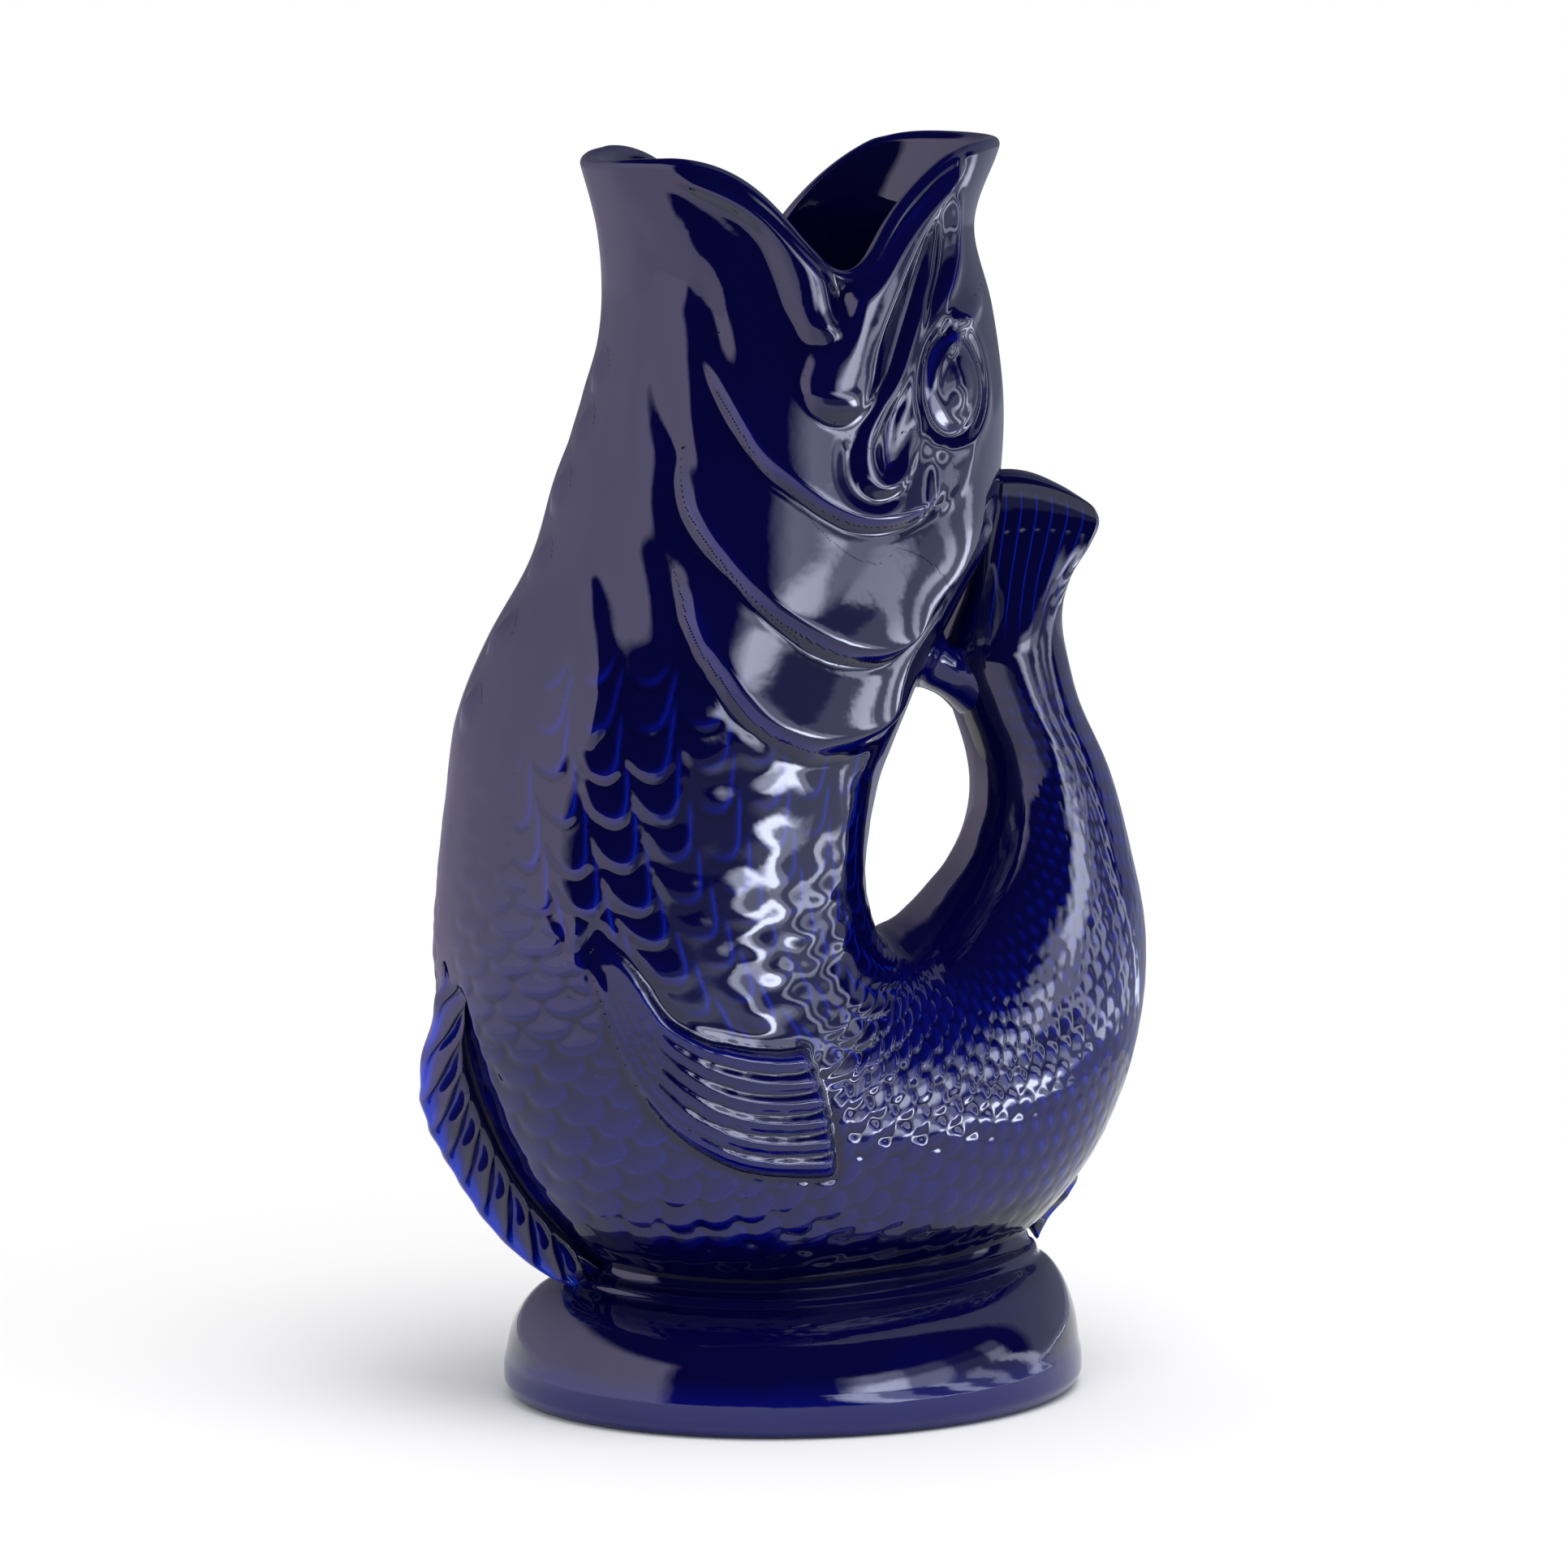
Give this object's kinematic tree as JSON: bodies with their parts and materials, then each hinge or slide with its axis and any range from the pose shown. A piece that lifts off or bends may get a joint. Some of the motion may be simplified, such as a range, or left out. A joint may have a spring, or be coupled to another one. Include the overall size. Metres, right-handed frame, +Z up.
{
  "type": "gurgle jug",
  "caption": "Fish-shaped glazed earthenware water jug: the open mouth pours, the upturned tail is the handle, and an oval foot carries the body.",
  "frame": {"origin": "centre of the oval foot, on the surface that the jug stands on", "axes": "+X towards the tail handle, -X towards the lower lip that pours, +Z up, Y=0 is the mirror plane"},
  "size_m": [0.1517, 0.102, 0.2469],
  "materials": {
    "glaze": "gloss",
    "glaze_thin": "gloss"
  },
  "bodies": {
    "root": {"foot": "glaze", "body_shell": "glaze", "head_shell": "glaze", "tail_handle": "glaze", "tail_fin": "glaze_thin", "handle_web": "glaze", "belly_fin": "glaze_thin", "rear_fin": "glaze_thin", "tail_keel": "glaze_thin", "belly_scutes": "glaze_thin", "lower_lip_left": "glaze_thin", "lower_lip_right": "glaze_thin", "upper_lip_left": "glaze", "upper_lip_right": "glaze", "eye_left": "glaze", "eye_right": "glaze", "brow_left": "glaze_thin", "brow_right": "glaze_thin", "cheek_plate_left": "glaze", "cheek_plate_right": "glaze", "gill_cover_left": "glaze", "gill_cover_right": "glaze", "shoulder_plate_left": "glaze", "shoulder_plate_right": "glaze", "side_fin_left": "glaze_thin", "side_fin_right": "glaze_thin"}
  },
  "joints": []
}
